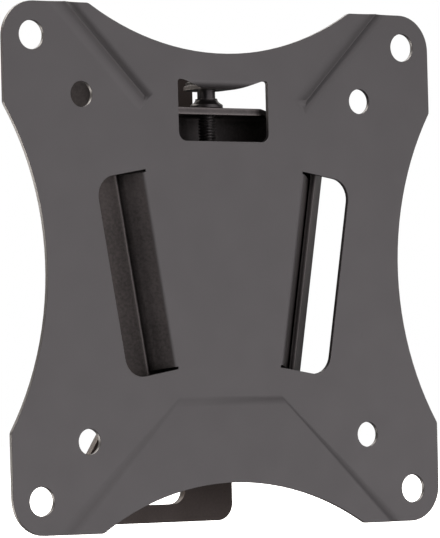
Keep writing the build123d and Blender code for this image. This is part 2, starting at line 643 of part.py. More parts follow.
def nut_insert():
    """Plastic ring held in the collar of the lock nut."""
    collar_h = NUT_H - NUT_HEX_H
    insert = ring(PIVOT_D + 2 * INSERT_WALL - THREAD_PLAY, PIVOT_D + THREAD_PLAY, INSERT_H)
    insert = Pos(0, 0, collar_h - INSERT_H) * insert
    return on_pivot(nut_base_x(), insert)


# Lock bolt, upright on the middle line
def on_lock_line(z, shape):
    """Put a piece on the line of the lock bolt, with its base at a height."""
    return Pos(0, FRONT_Y + LOCK_DEPTH, z) * shape


def security_bolt():
    """Machine screw with a bevelled head and a cross recess."""
    head = rod(LOCK_HEAD_D, LOCK_HEAD_H)
    head = chamfer(head.edges().group_by(Axis.Z)[-1], LOCK_HEAD_CHAMFER)
    cross = Rectangle(LOCK_SOCKET_ARM, LOCK_SOCKET_WIDTH) + Rectangle(LOCK_SOCKET_WIDTH, LOCK_SOCKET_ARM)
    recess = Pos(0, 0, LOCK_HEAD_H) * cross
    head -= extrude(recess, amount=-LOCK_SOCKET_DEPTH, taper=LOCK_SOCKET_TAPER)
    shank = Pos(0, 0, -LOCK_LENGTH) * rod(LOCK_D, LOCK_LENGTH)
    return on_lock_line(LOCK_HEAD_Z, head + shank)


def security_washer():
    """Washer between the bolt head and the lock tab."""
    return on_lock_line(TAB_TOP_Z, ring(LOCK_WASHER_D, LOCK_HOLE_D, LOCK_WASHER_T))


def security_nut():
    """Round nut with a coned top, fixed on the shelf of the channel."""
    bore_r = (LOCK_D + THREAD_PLAY) / 2
    profile = Polygon(
        (bore_r, 0), (LOCK_NUT_D / 2, 0), (LOCK_NUT_D / 2, LOCK_NUT_RIM), (LOCK_NUT_TOP_D / 2, LOCK_NUT_H),
        (bore_r, LOCK_NUT_H), align=None,
    )
    return on_lock_line(SHELF_TOP_Z, revolve(Plane.XZ * profile, Axis.Z))


# Every piece is written under its own name, paired ones once for each side
SINGLE_PIECES = (vesa_plate, tilt_channel, wall_plate, security_bolt, security_washer, security_nut)
PAIRED_PIECES = (
    pivot_bolt, pivot_washer, friction_washer, inner_washer, disc_spring, pivot_nut, nut_insert,
)

os.makedirs("parts", exist_ok=True)
for make_piece in SINGLE_PIECES:
    export_step(make_piece(), f"parts/{make_piece.__name__}.step")
for make_piece in PAIRED_PIECES:
    piece = make_piece()
    export_step(piece, f"parts/{make_piece.__name__}_right.step")
    export_step(mirror(piece, about=Plane.YZ), f"parts/{make_piece.__name__}_left.step")
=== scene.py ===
# %% [markdown]
# # A tilting wall bracket for a small screen
#
# The bracket is three folded sheets of steel with a satin black powder coat. A waisted
# square plate carries the screen, a V-shaped channel takes the plate's two dovetail tabs,
# and a wall plate with two ears carries the channel on a pair of friction pivots.
#
# The construction model is already exact, so it is loaded as a fixed frame and never moved.
# This lesson gives it light, a camera, softened edges, true finishes and real threads.

# %% Load the frame
import json
import math

import bmesh
import bpy
from mathutils import Matrix, Quaternion, Vector


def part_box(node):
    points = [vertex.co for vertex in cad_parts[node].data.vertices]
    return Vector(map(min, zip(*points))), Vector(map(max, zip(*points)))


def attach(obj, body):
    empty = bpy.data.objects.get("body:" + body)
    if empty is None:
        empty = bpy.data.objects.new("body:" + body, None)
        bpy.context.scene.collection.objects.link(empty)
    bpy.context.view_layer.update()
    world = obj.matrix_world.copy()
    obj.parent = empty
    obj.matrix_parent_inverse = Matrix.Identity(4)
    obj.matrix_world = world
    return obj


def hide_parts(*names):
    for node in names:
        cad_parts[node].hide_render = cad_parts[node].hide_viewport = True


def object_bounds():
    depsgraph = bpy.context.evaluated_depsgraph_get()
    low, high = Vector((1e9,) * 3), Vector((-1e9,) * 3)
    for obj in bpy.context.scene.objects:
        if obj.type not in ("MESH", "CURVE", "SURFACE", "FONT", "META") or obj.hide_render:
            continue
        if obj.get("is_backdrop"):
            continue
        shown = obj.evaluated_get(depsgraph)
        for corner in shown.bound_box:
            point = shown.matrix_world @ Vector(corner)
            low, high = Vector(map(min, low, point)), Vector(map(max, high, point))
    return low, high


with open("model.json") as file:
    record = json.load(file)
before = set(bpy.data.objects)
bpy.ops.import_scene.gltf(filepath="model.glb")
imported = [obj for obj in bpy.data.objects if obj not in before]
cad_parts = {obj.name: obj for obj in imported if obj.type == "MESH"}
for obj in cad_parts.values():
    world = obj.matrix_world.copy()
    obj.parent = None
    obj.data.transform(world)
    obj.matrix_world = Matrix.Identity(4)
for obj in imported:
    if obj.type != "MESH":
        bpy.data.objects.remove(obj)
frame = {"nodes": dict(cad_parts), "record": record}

cad_low, cad_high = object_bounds()
scene = bpy.context.scene
nodes = frame["nodes"]
MM = 0.001
print(f"{len(nodes)} CAD pieces, box {tuple(round(v / MM, 1) for v in cad_high - cad_low)} mm")

# %% [markdown]
# ## Camera
#
# A long lens from about a metre away keeps the sides of the plate almost parallel. The eye
# is to the left of the bracket and a little below its middle, so it looks slightly upwards.
#
# A camera can be placed by a position and a target. Here an aim point, two angles and a
# distance say the same thing, because they can be read off a picture one by one. The last
# turn, about the line of sight, is the small lean of a camera held by hand.

# %% Camera
CAMERA_AIM = Vector((-2.1, -32.0, -0.3)) * MM   # on the front of the screen plate
CAMERA_DISTANCE = 964.8 * MM
CAMERA_AZIMUTH = math.radians(-35.27)
CAMERA_ELEVATION = math.radians(-2.03)
CAMERA_LEAN = math.radians(-1.44)
CAMERA_LENS = 293.4                              # millimetres
CAMERA_SENSOR = 36.0                             # millimetres wide
CAMERA_NEAR = 0.05                               # metres


def direction(azimuth, elevation):
    """Unit vector from the bracket towards a place round it; azimuth 0 is straight in front."""
    level = math.cos(elevation)
    return Vector((math.sin(azimuth) * level, -math.cos(azimuth) * level, math.sin(elevation)))


def make_camera():
    """Camera at the angle of the photograph."""
    data = bpy.data.cameras.new("camera")
    data.lens = CAMERA_LENS
    data.sensor_width = CAMERA_SENSOR
    data.clip_start = CAMERA_NEAR
    camera = bpy.data.objects.new("camera", data)
    towards_eye = direction(CAMERA_AZIMUTH, CAMERA_ELEVATION)
    camera.location = CAMERA_AIM + towards_eye * CAMERA_DISTANCE
    look = (-towards_eye).to_track_quat("-Z", "Y")
    camera.rotation_mode = "QUATERNION"
    camera.rotation_quaternion = look @ Quaternion((0, 0, 1), CAMERA_LEAN)
    scene.collection.objects.link(camera)
    scene.camera = camera
    return camera


camera = make_camera()
print("camera at", tuple(round(v / MM) for v in camera.location), "mm")

# %% [markdown]
# ## A short way to write nodes
#
# Materials are graphs of nodes. Adding a node by hand takes a line for the node, one for
# each setting and one for each wire. These helpers fold that into one call: a value given
# for a socket is typed in, and another socket given for it is wired in.

# %% Node helpers
def place(tree, kind, inputs=None, **settings):
    """Adds a shader node, sets its options, and fills or wires its inputs."""
    made = tree.nodes.new("ShaderNode" + kind)
    for name, value in settings.items():
        setattr(made, name, value)
    for socket, value in (inputs or {}).items():
        if isinstance(value, bpy.types.NodeSocket):
            tree.links.new(value, made.inputs[socket])
        else:
            made.inputs[socket].default_value = value
    return made


def math_node(tree, operation, first, second=0.0):
    """One sum on two numbers."""
    return place(tree, "Math", {0: first, 1: second}, operation=operation).outputs[0]


def remap(tree, value, low, high, new_low=0.0, new_high=1.0):
    """Stretches a number from one range to another and clamps it there."""
    made = place(tree, "MapRange", {0: value, 1: low, 2: high, 3: new_low, 4: new_high})
    return made.outputs[0]


def blend_colours(tree, share, first, second):
    """Colour between two colours."""
    made = place(tree, "Mix", {0: share, 6: first, 7: second}, data_type="RGBA")
    return made.outputs[2]


def noise(tree, coords, size_mm, detail=3.0):
    """Noise with blobs of about this size on the object; the size may be a socket."""
    if isinstance(size_mm, bpy.types.NodeSocket):
        scale = math_node(tree, "DIVIDE", 1 / MM, size_mm)
    else:
        scale = 1 / (size_mm * MM)
    made = place(tree, "TexNoise", {"Vector": coords, "Scale": scale, "Detail": detail})
    return made.outputs["Fac"]


def start_group(name, inputs, outputs):
    """A new shader group with float sockets; returns the tree, its inputs and its output node."""
    tree = bpy.data.node_groups.new(name, "ShaderNodeTree")
    for socket, default in inputs.items():
        made = tree.interface.new_socket(name=socket, in_out="INPUT", socket_type="NodeSocketFloat")
        made.default_value = default
    for socket in outputs:
        tree.interface.new_socket(name=socket, in_out="OUTPUT", socket_type="NodeSocketFloat")
    entry = tree.nodes.new("NodeGroupInput")
    exit_node = tree.nodes.new("NodeGroupOutput")
    return tree, entry.outputs, exit_node.inputs


print("node helpers ready")

# %% [markdown]
# ## Studio
#
# The bracket stands on a plain white table in front of nothing, so the background is white.
# The sky seen by the lens is full white, but the sky that lights the steel is dimmer: black
# paint under a white dome would turn grey all over and its creases would vanish.
#
# Black satin paint shows almost no colour of its own: it is bright where it mirrors a lamp.
# So one broad wall of light stands in front, and the pressed ribs show because they mirror
# another part of it than the flats do. A small lamp adds a soft sheen to the middle, one
# close to the right grazes the ribs, and a low one lifts the flanks that face the table. A
# tall lamp at the left reaches behind the plate, and two behind it, one low and one high,
# light the cut edges. One more at the right and one at the back keep those sides readable
# when the bracket is turned.

# %% Table and sky
FLOOR_DROP = 0.4 * MM        # the table lies just under the bracket
FLOOR_HALF = 4.0             # metres
SKY_LIGHT = 0.09             # strength of the sky as a light; the lens sees 1
WHITE = (1, 1, 1, 1)
TABLE_WHITE = (0.85, 0.85, 0.85, 1)


def make_sky():
    """White sky, dimmer as a light than as a background."""
    world = bpy.data.worlds.new("studio")
    world.use_nodes = True
    tree = world.node_tree
    seen = tree.nodes.new("ShaderNodeLightPath").outputs["Is Camera Ray"]
    strength = remap(tree, seen, 0.0, 1.0, SKY_LIGHT, 1.0)
    back = tree.nodes["Background"]
    back.inputs["Color"].default_value = WHITE
    tree.links.new(strength, back.inputs["Strength"])
    scene.world = world
    return world


def make_floor():
    """Plain white table that glows as a light table does, so it needs no light on it."""
    mesh = bpy.data.meshes.new("table")
    z = cad_low.z - FLOOR_DROP
    corners = [(-1, -1), (1, -1), (1, 1), (-1, 1)]
    points = [(x * FLOOR_HALF, y * FLOOR_HALF, z) for x, y in corners]
    mesh.from_pydata(points, [], [(0, 1, 2, 3)])
    floor = bpy.data.objects.new("table", mesh)
    scene.collection.objects.link(floor)
    material = bpy.data.materials.new("table_white")
    material.use_nodes = True
    sockets = material.node_tree.nodes["Principled BSDF"].inputs
    sockets["Base Color"].default_value = TABLE_WHITE
    sockets["Roughness"].default_value = 0.9
    sockets["Specular IOR Level"].default_value = 0.0
    sockets["Emission Color"].default_value = WHITE
    sockets["Emission Strength"].default_value = 1.0
    mesh.materials.append(material)
    floor.visible_diffuse = False
    floor.visible_glossy = False
    floor.visible_shadow = False
    floor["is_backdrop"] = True
    return floor


make_sky()
floor = make_floor()
print("table top at", round(floor.data.vertices[0].co.z / MM, 2), "mm")

# %% Lamps
FRONT_TINT = (0.975, 0.915, 0.940)
EDGE_TINT = (1.0, 0.93, 0.86)
LAMPS = {
    # name: azimuth and elevation in degrees, distance, width and height in metres, watts, colour
    "front_wall": (11, 2, 0.95, 1.30, 2.60, 24.0, FRONT_TINT),
    "sheen_lamp": (34, -6, 0.95, 0.36, 0.36, 0.80, FRONT_TINT),
    "near_lamp": (60, -8, 0.50, 0.26, 0.26, 0.27, FRONT_TINT),
    "low_lamp": (0, -34, 0.95, 0.60, 0.50, 0.72, FRONT_TINT),
    "side_lamp": (-84, -6, 0.95, 0.25, 0.90, 7.0, (1.0, 0.92, 0.91)),
    "low_edge_lamp": (-138, -22, 0.95, 0.40, 0.50, 12.0, EDGE_TINT),
    "high_edge_lamp": (-145, 48, 0.95, 0.40, 0.50, 13.0, EDGE_TINT),
    "right_lamp": (108, 24, 1.10, 0.80, 0.80, 2.6, (1.0, 0.95, 0.93)),
    "rear_lamp": (170, 50, 1.10, 0.80, 0.60, 10.0, (1.0, 0.95, 0.92)),
}


def make_lamp(name, azimuth, elevation, distance, width, height, watts, colour):
    """Rectangular soft lamp that faces the middle of the bracket and is never seen itself."""
    data = bpy.data.lights.new(name, "AREA")
    data.shape = "RECTANGLE"
    data.size = width
    data.size_y = height
    data.energy = watts
    data.color = colour
    lamp = bpy.data.objects.new(name, data)
    outward = direction(math.radians(azimuth), math.radians(elevation))
    lamp.location = (cad_low + cad_high) / 2 + outward * distance
    lamp.rotation_mode = "QUATERNION"
    lamp.rotation_quaternion = (-outward).to_track_quat("-Z", "Y")
    lamp.visible_camera = False
    scene.collection.objects.link(lamp)
    return lamp


for lamp_name, lamp_values in LAMPS.items():
    make_lamp(lamp_name, *lamp_values)
scene.view_settings.view_transform = "Standard"
print(len(LAMPS), "lamps")

# %% [markdown]
# ## Shared surface effects
#
# Powder coat is sprayed as dust and melted in an oven. It flows into a skin with a fine
# grain and slightly wider orange-peel waves. Plated steel has soft clouds instead. Both get
# a lighter tone on their edges: on plated steel it is wear, on the coats partly a thinner
# skin and partly a painted highlight. Deep corners of the coats are painted dark and dull,
# as painted shade.
#
# The grain and the clouds are noise in the object's own coordinates. An edge is found by
# comparing the true normal with a rounded one, and a corner by how much of its surroundings
# is open. These masks could be painted by hand, but then they would not follow a change of
# shape. Each of these effects serves several finishes, so each is a node group. A group only
# passes numbers, and the shader itself stays in the material.

# %% Group: melted grain
NOISE_RANGE = (0.3, 0.7)     # most of the range of a noise
WAVE_SHARE = 0.6             # height of the waves, against the grain's
SLOW_MM = 22.0               # size of the slow changes of tone
SLOW_SHARE = 0.7             # of the tone; the grain gives the rest
SHEEN_MM = 6.0               # size of the changes of gloss


def make_grain_group():
    """Fine grain over wider waves, with slow changes of tone."""
    tree, sockets, out = start_group(
        "melted_grain", {"Grain mm": 0.35, "Wave mm": 1.8}, ["Height", "Tone", "Sheen"]
    )
    coords = tree.nodes.new("ShaderNodeTexCoord").outputs["Object"]
    grain = noise(tree, coords, sockets["Grain mm"], detail=2.0)
    wave = noise(tree, coords, sockets["Wave mm"], detail=1.0)
    wave = math_node(tree, "MULTIPLY", wave, WAVE_SHARE)
    tree.links.new(math_node(tree, "ADD", grain, wave), out["Height"])
    slow = math_node(tree, "MULTIPLY", noise(tree, coords, SLOW_MM), SLOW_SHARE)
    fine = remap(tree, grain, *NOISE_RANGE, 0.0, 1 - SLOW_SHARE)
    tree.links.new(math_node(tree, "ADD", slow, fine), out["Tone"])
    tree.links.new(remap(tree, noise(tree, coords, SHEEN_MM), *NOISE_RANGE), out["Sheen"])
    return tree


melted_grain = make_grain_group()
print("group", melted_grain.name, "with", len(melted_grain.nodes), "nodes")

# %% Group: edges
MASK_SAMPLES = 6
FLAT_AGREES = 0.995          # how far the two normals agree on a flat
EDGE_AGREES = 0.75           # and right on an edge


def make_edge_group():
    """Mask that is 1 on edges and fades to 0 on the flats."""
    tree, sockets, out = start_group("edge_mask", {"Reach mm": 0.5}, ["Mask"])
    reach = math_node(tree, "MULTIPLY", sockets["Reach mm"], MM)
    rounded = place(tree, "Bevel", {"Radius": reach}, samples=MASK_SAMPLES).outputs["Normal"]
    true_normal = tree.nodes.new("ShaderNodeNewGeometry").outputs["Normal"]
    agreement = place(tree, "VectorMath", {0: rounded, 1: true_normal}, operation="DOT_PRODUCT")
    mask = remap(tree, agreement.outputs["Value"], FLAT_AGREES, EDGE_AGREES)
    tree.links.new(mask, out["Mask"])
    return tree


edge_mask = make_edge_group()
print("group", edge_mask.name, "with", len(edge_mask.nodes), "nodes")

# %% Group: painted shade in corners
CORNER_SHUT = 0.35           # share of open surroundings in a corner that counts as deep
CORNER_FREE = 0.85           # and where the surface counts as open


def make_corner_shade_group():
    """Mask that is 1 in the open and falls to 0 in deep corners, where shade is painted."""
    tree, sockets, out = start_group("painted_corner_shade", {"Reach mm": 5.0}, ["Open"])
    reach = math_node(tree, "MULTIPLY", sockets["Reach mm"], MM)
    shade = place(tree, "AmbientOcclusion", {"Distance": reach}, samples=MASK_SAMPLES)
    tree.links.new(remap(tree, shade.outputs["AO"], CORNER_SHUT, CORNER_FREE), out["Open"])
    return tree


painted_corner_shade = make_corner_shade_group()
print("group", painted_corner_shade.name, "with", len(painted_corner_shade.nodes), "nodes")

# %% Group: plating clouds
SUM_RANGE = (0.75, 1.25)     # most of the range of two noises added up


def make_plating_group():
    """Soft clouds and a few fine rubs, as on barrel-plated steel."""
    tree, sockets, out = start_group(
        "plating_clouds", {"Cloud mm": 2.5, "Rub mm": 0.12}, ["Tone", "Sheen", "Height"]
    )
    coords = tree.nodes.new("ShaderNodeTexCoord").outputs["Object"]
    clouds = noise(tree, coords, sockets["Cloud mm"])
    rubs = noise(tree, coords, sockets["Rub mm"], detail=2.0)
    tree.links.new(remap(tree, clouds, *NOISE_RANGE), out["Tone"])
    tree.links.new(remap(tree, math_node(tree, "ADD", clouds, rubs), *SUM_RANGE), out["Sheen"])
    tree.links.new(rubs, out["Height"])
    return tree


plating_clouds = make_plating_group()
print("group", plating_clouds.name, "with", len(plating_clouds.nodes), "nodes")

# %% [markdown]
# ## Finishes
#
# A finish is a Principled shader fed by the groups. Anything that is the same all over, such
# as how strongly a coat reflects, is typed into the shader itself. Only what changes over
# the surface is wired: colour, roughness, the bump, and on the coats the share of metal.

# %% Finish helper
def start_finish(name):
    """New material with its node tree and its shader."""
    material = bpy.data.materials.new(name)
    material.use_nodes = True
    tree = material.node_tree
    return material, tree, tree.nodes["Principled BSDF"]


def use_group(tree, group, **values):
    """Places a group and returns its outputs; keywords use _ for the space in a socket's name."""
    made = tree.nodes.new("ShaderNodeGroup")
    made.node_tree = group
    for name, value in values.items():
        made.inputs[name.replace("_", " ")].default_value = value
    return made.outputs


def add_bump(tree, shader, height, depth_mm, strength):
    """Wires a height into the shader's normal."""
    bump = place(tree, "Bump", {"Height": height, "Distance": depth_mm * MM, "Strength": strength})
    tree.links.new(bump.outputs["Normal"], shader.inputs["Normal"])


print("finish helpers ready")

# %% [markdown]
# ## Satin black powder coat
#
# All three sheets have the same coat, but it doesn't look the same on each. The screen plate
# is smooth and even. The channel behind it is rougher, with larger grains, and it is painted
# darker and duller with a share of metal, as painted shade; so are the tabs and the back of the
# screen plate. The wall plate's back has the channel's skin, and its front is painted darker
# and warmer, as shade with a warm bounce of light.
#
# Three separate materials could be drawn by hand. One recipe with three rows of values keeps
# them related, so a change to the recipe reaches all of them.

# %% Satin black powder coat
COATS = {
    "plate_coat": dict(
        dark=(0.0160, 0.0148, 0.0150, 1), light=(0.0190, 0.0176, 0.0178, 1),
        edge=(0.050, 0.047, 0.047, 1), edge_mm=0.35, grain_mm=0.32, grain_strength=0.25,
        reflects=0.50, metal=0.0, roughness=(0.45, 0.485),
    ),
    # Partly painted shade: a duller, darker skin than the plate's through less reflection and a
    # share of metal. Its bright edge tone is a painted highlight along the cut edges of the lip.
    "channel_coat": dict(
        dark=(0.0115, 0.0098, 0.0094, 1), light=(0.0345, 0.0300, 0.0290, 1),
        edge=(0.200, 0.185, 0.180, 1), edge_mm=1.10, grain_mm=0.62, grain_strength=0.60,
        reflects=0.42, metal=0.34, roughness=(0.44, 0.54),
    ),
    # Painted shade with a warm bounce of light: the wall plate's front is darker, browner and
    # duller.
    "wall_shaded_coat": dict(
        dark=(0.0180, 0.0130, 0.0108, 1), light=(0.0290, 0.0215, 0.0178, 1),
        edge=(0.065, 0.056, 0.050, 1), edge_mm=0.35, grain_mm=0.50, grain_strength=0.45,
        reflects=0.28, metal=0.30, roughness=(0.44, 0.54),
    ),
}
WAVES_PER_GRAIN = 5          # the waves are this much wider than the grain
COAT_DEPTH = 0.02            # millimetres of bump
# On the coats the edge tone is partly a thinner skin and partly a painted highlight.
COAT_THINNING_AND_HIGHLIGHT = 0.5          # share of the edge tone that shows on an edge

print(len(COATS), "coats to make")

# %% Where shade is painted
CORNER_MM = 5.0
# Painted shade: the colour of deep corners on the coats.
CORNER_SHADE_TONE = (0.003, 0.0022, 0.0020, 1)
# Painted shade: a share of metal that darkens the screen plate's back and tabs.
BEHIND_METAL = 0.45
# Depths are y values in the bracket's frame: a mask goes from 0 at the first to 1 at the second.
PLATE_BACK = (-31.0 * MM, -30.2 * MM)   # from the back of the screen plate's sheet
TAB_BEND = (-31.9 * MM, -31.5 * MM)     # the tabs turn away right from the plate's front
TAB_FIELD = (31.0 * MM, 29.0 * MM)      # half width and half height of the field with the slots
FIELD_FADE = 1.0 * MM
WALL_BACK = (-1.4 * MM, -0.6 * MM)      # within the wall plate's 2 mm sheet


def shade_on_tabs_and_back(tree):
    """Mask of the screen plate's back and of the tabs folded out of its slots, where shade is
    painted.
    """
    coords = tree.nodes.new("ShaderNodeTexCoord").outputs["Object"]
    x, depth, z = place(tree, "SeparateXYZ", {0: coords}).outputs
    tabs = remap(tree, depth, *TAB_BEND)
    for across, half in zip((x, z), TAB_FIELD):
        inside = remap(tree, math_node(tree, "ABSOLUTE", across), half, half - FIELD_FADE)
        tabs = math_node(tree, "MULTIPLY", tabs, inside)
    return math_node(tree, "MAXIMUM", tabs, remap(tree, depth, *PLATE_BACK))


def against_the_wall(tree):
    """Mask of the side of the wall plate that lies on the wall."""
    coords = tree.nodes.new("ShaderNodeTexCoord").outputs["Object"]
    depth = place(tree, "SeparateXYZ", {0: coords}).outputs["Y"]
    return remap(tree, depth, *WALL_BACK)


BACKS = {"plate_coat": shade_on_tabs_and_back, "wall_shaded_coat": against_the_wall}
print("backs of", sorted(BACKS))

# %% Make the coats
def mottled_skin(tree, coat):
    """Colour of a coat with its tones, and the grain that it follows."""
    size = coat["grain_mm"]
    grain = use_group(tree, melted_grain, Grain_mm=size, Wave_mm=size * WAVES_PER_GRAIN)
    tone = remap(tree, grain["Tone"], *NOISE_RANGE)
    return blend_colours(tree, tone, coat["dark"], coat["light"]), grain


def make_powder_coat(name, coat):
    """Satin black skin with a fine grain, with painted shade in deep corners and on the screen
    plate's tabs and back, and a lighter edge tone that is partly a painted highlight.
    """
    material, tree, shader = start_finish(name)
    skin, grain = mottled_skin(tree, coat)
    painted = 1 - coat["metal"]
    # Painted shade: the screen plate's tabs and back take the channel's darker skin and more metal.
    # The wall plate's back takes the channel's skin, and its front keeps its own painted shade.
    if name in BACKS:
        behind = BACKS[name](tree)
        behind_skin, _ = mottled_skin(tree, COATS["channel_coat"])
        skin = blend_colours(tree, behind, skin, behind_skin)
        painted = remap(tree, behind, 0.0, 1.0, painted, 1 - BEHIND_METAL)
    # Painted shade: deep corners turn dark and dull.
    open_air = use_group(tree, painted_corner_shade, Reach_mm=CORNER_MM)["Open"]
    skin = blend_colours(tree, open_air, CORNER_SHADE_TONE, skin)
    painted = math_node(tree, "MULTIPLY", open_air, painted)
    # Lighter edge tone: partly a thinner coat, partly a painted highlight.
    edges = use_group(tree, edge_mask, Reach_mm=coat["edge_mm"])["Mask"]
    thin_and_lit = math_node(tree, "MULTIPLY", edges, COAT_THINNING_AND_HIGHLIGHT)
    colour = blend_colours(tree, thin_and_lit, skin, coat["edge"])
    gloss = remap(tree, grain["Sheen"], 0.0, 1.0, *coat["roughness"])
    tree.links.new(colour, shader.inputs["Base Color"])
    tree.links.new(math_node(tree, "SUBTRACT", 1.0, painted), shader.inputs["Metallic"])
    tree.links.new(gloss, shader.inputs["Roughness"])
    shader.inputs["Specular IOR Level"].default_value = coat["reflects"]
    add_bump(tree, shader, grain["Height"], COAT_DEPTH, coat["grain_strength"])
    return material


coats = {name: make_powder_coat(name, coat) for name, coat in COATS.items()}
print("finishes", sorted(coats))

# %% [markdown]
# ## Plated steels
#
# The lock bolt and its nut are black zinc, the pivots are bright zinc, and the disc springs
# are dark spring steel. Plating is so thin that it only tints the metal, so these finishes
# are metallic, with clouds in the tone and in the gloss. They differ in their values alone,
# so one recipe makes all three.

# %% Plated steels
PLATED = {
    "black_zinc": dict(
        dark=(0.018, 0.017, 0.018, 1), light=(0.040, 0.038, 0.037, 1), edge=(0.10, 0.095, 0.09, 1),
        metal=0.85, roughness=(0.30, 0.46),
    ),
    "bright_zinc": dict(
        dark=(0.47, 0.48, 0.49, 1), light=(0.68, 0.68, 0.67, 1), edge=(0.80, 0.80, 0.79, 1),
        metal=1.0, roughness=(0.20, 0.36),
    ),
    "spring_steel": dict(
        dark=(0.15, 0.142, 0.135, 1), light=(0.27, 0.255, 0.24, 1), edge=(0.40, 0.385, 0.37, 1),
        metal=1.0, roughness=(0.34, 0.50),
    ),
}
PLATED_EDGE_MM = 0.2
PLATED_WEAR = 0.6            # share of the edge tone that shows on an edge
RUB_DEPTH = 0.004            # millimetres of bump
RUB_STRENGTH = 0.25


def make_plated_steel(name, plating):
    """Plated or oiled steel with soft clouds and brighter edges."""
    material, tree, shader = start_finish(name)
    clouds = use_group(tree, plating_clouds)
    edges = use_group(tree, edge_mask, Reach_mm=PLATED_EDGE_MM)["Mask"]
    skin = blend_colours(tree, clouds["Tone"], plating["dark"], plating["light"])
    worn = math_node(tree, "MULTIPLY", edges, PLATED_WEAR)
    colour = blend_colours(tree, worn, skin, plating["edge"])
    gloss = remap(tree, clouds["Sheen"], 0.0, 1.0, *plating["roughness"])
    tree.links.new(colour, shader.inputs["Base Color"])
    tree.links.new(gloss, shader.inputs["Roughness"])
    shader.inputs["Metallic"].default_value = plating["metal"]
    add_bump(tree, shader, clouds["Height"], RUB_DEPTH, RUB_STRENGTH)
    return material


plated = {name: make_plated_steel(name, plating) for name, plating in PLATED.items()}
print("finishes", sorted(plated))

# %% [markdown]
# ## Nylon
#
# The friction washers and the rings in the lock nuts are natural nylon, which is milky: light
# goes a little way in and comes out again. A paler colour alone would look like paint, so
# the shader gets a small share of subsurface light as well.

# %% Nylon
NYLON_TONES = ((0.60, 0.58, 0.51, 1), (0.74, 0.72, 0.66, 1))
NYLON_ROUGHNESS = (0.42, 0.58)
NYLON_MILK = 0.15            # share of the light that goes in
NYLON_REACH = (1.2 * MM, 1.0 * MM, 0.8 * MM)
NYLON_DEPTH = 0.006          # millimetres of bump
NYLON_STRENGTH = 0.3


def make_nylon():
    """Milky moulded plastic with a faint skin texture."""
    material, tree, shader = start_finish("nylon")
    grain = use_group(tree, melted_grain, Grain_mm=0.2, Wave_mm=1.2)
    skin = blend_colours(tree, grain["Tone"], *NYLON_TONES)
    gloss = remap(tree, grain["Sheen"], 0.0, 1.0, *NYLON_ROUGHNESS)
    tree.links.new(skin, shader.inputs["Base Color"])
    tree.links.new(gloss, shader.inputs["Roughness"])
    shader.inputs["Subsurface Weight"].default_value = NYLON_MILK
    shader.inputs["Subsurface Radius"].default_value = NYLON_REACH
    add_bump(tree, shader, grain["Height"], NYLON_DEPTH, NYLON_STRENGTH)
    return material


slot_finishes = {"satin_black_coat": coats["plate_coat"], "nylon": make_nylon(), **plated}
own_finishes = {"tilt_channel": coats["channel_coat"], "wall_plate": coats["wall_shaded_coat"]}
print(len(slot_finishes), "finishes by slot,", len(own_finishes), "by piece")

# %% [markdown]
# ## Softened edges on the CAD pieces
#
# Stamped steel never has a knife edge, and a coat rounds it further. The CAD meshes are
# exact and sharp, and they must not be changed, so the softening is a stack of modifiers.
# Weld joins the split corners, Decimate merges the flat triangles into whole faces, Bevel
# rounds what is still sharp, and Weighted Normal keeps the flats looking flat.
#
# Bevel can be told to stop where two rounded edges would meet. On the folded sheets that
# stop is off, because one tight corner would then keep every other edge sharp.

# %% Soften and dress the CAD pieces
SHEET_EDGE = 0.12 * MM
CHANNEL_EDGE = 0.15 * MM     # the channel is sheared from thicker sheet
SMALL_EDGE = 0.10 * MM
EDGE_STEPS = 3
SAME_POINT = 0.002 * MM
FLAT_ANGLE = math.radians(0.4)
EDGE_ANGLE = math.radians(38)


def soften(piece, width):
    """Rounds every sharp edge of a piece by modifiers alone."""
    weld = piece.modifiers.new("join_corners", "WELD")
    weld.merge_threshold = SAME_POINT
    merge = piece.modifiers.new("merge_flats", "DECIMATE")
    merge.decimate_type = "DISSOLVE"
    merge.angle_limit = FLAT_ANGLE
    bevel = piece.modifiers.new("round_edges", "BEVEL")
    bevel.width = width
    bevel.segments = EDGE_STEPS
    bevel.limit_method = "ANGLE"
    bevel.angle_limit = EDGE_ANGLE
    bevel.use_clamp_overlap = width <= SMALL_EDGE
    normals = piece.modifiers.new("flat_faces", "WEIGHTED_NORMAL")
    normals.keep_sharp = False


def dress_cad_pieces():
    """Softens each CAD piece and gives it the finish of its slot in the record."""
    for row in frame["record"]["subparts"]:
        piece = nodes[row["node"]]
        slot = row["material_slot"]
        edge = SHEET_EDGE if slot == "satin_black_coat" else SMALL_EDGE
        soften(piece, CHANNEL_EDGE if row["node"] == "tilt_channel" else edge)
        if not piece.material_slots:
            piece.data.materials.append(None)
        for place_for in piece.material_slots:
            place_for.link = "OBJECT"
            place_for.material = own_finishes.get(row["node"], slot_finishes[slot])


dress_cad_pieces()

# %% [markdown]
# ## Bolts with real threads
#
# A thread can be cut with Blender's Screw modifier, or painted on as bump. Here it is a
# round bar whose radius follows the thread's profile, which climbs by one pitch on each
# turn. The mesh stays a plain grid of rings, so it closes cleanly at both ends, and the
# tip can be chamfered by capping the radius.

# %% Mesh helpers for turned pieces
RING_STEPS = 48
SHARP_ANGLE = math.radians(35)


def ring_point(radius, step, z):
    """Point on a ring of RING_STEPS points."""
    angle = 2 * math.pi * step / RING_STEPS
    return Vector((radius * math.cos(angle), radius * math.sin(angle), z))


def add_rings(mesh, rings):
    """Joins rings of points into a closed skin; each ring is a list of RING_STEPS points."""
    made = [[mesh.verts.new(p) for p in ring] for ring in rings]
    for low, high in zip(made, made[1:]):
        for i in range(RING_STEPS):
            j = (i + 1) % RING_STEPS
            mesh.faces.new((low[i], low[j], high[j], high[i]))
    mesh.faces.new(list(reversed(made[0])))
    mesh.faces.new(made[-1])


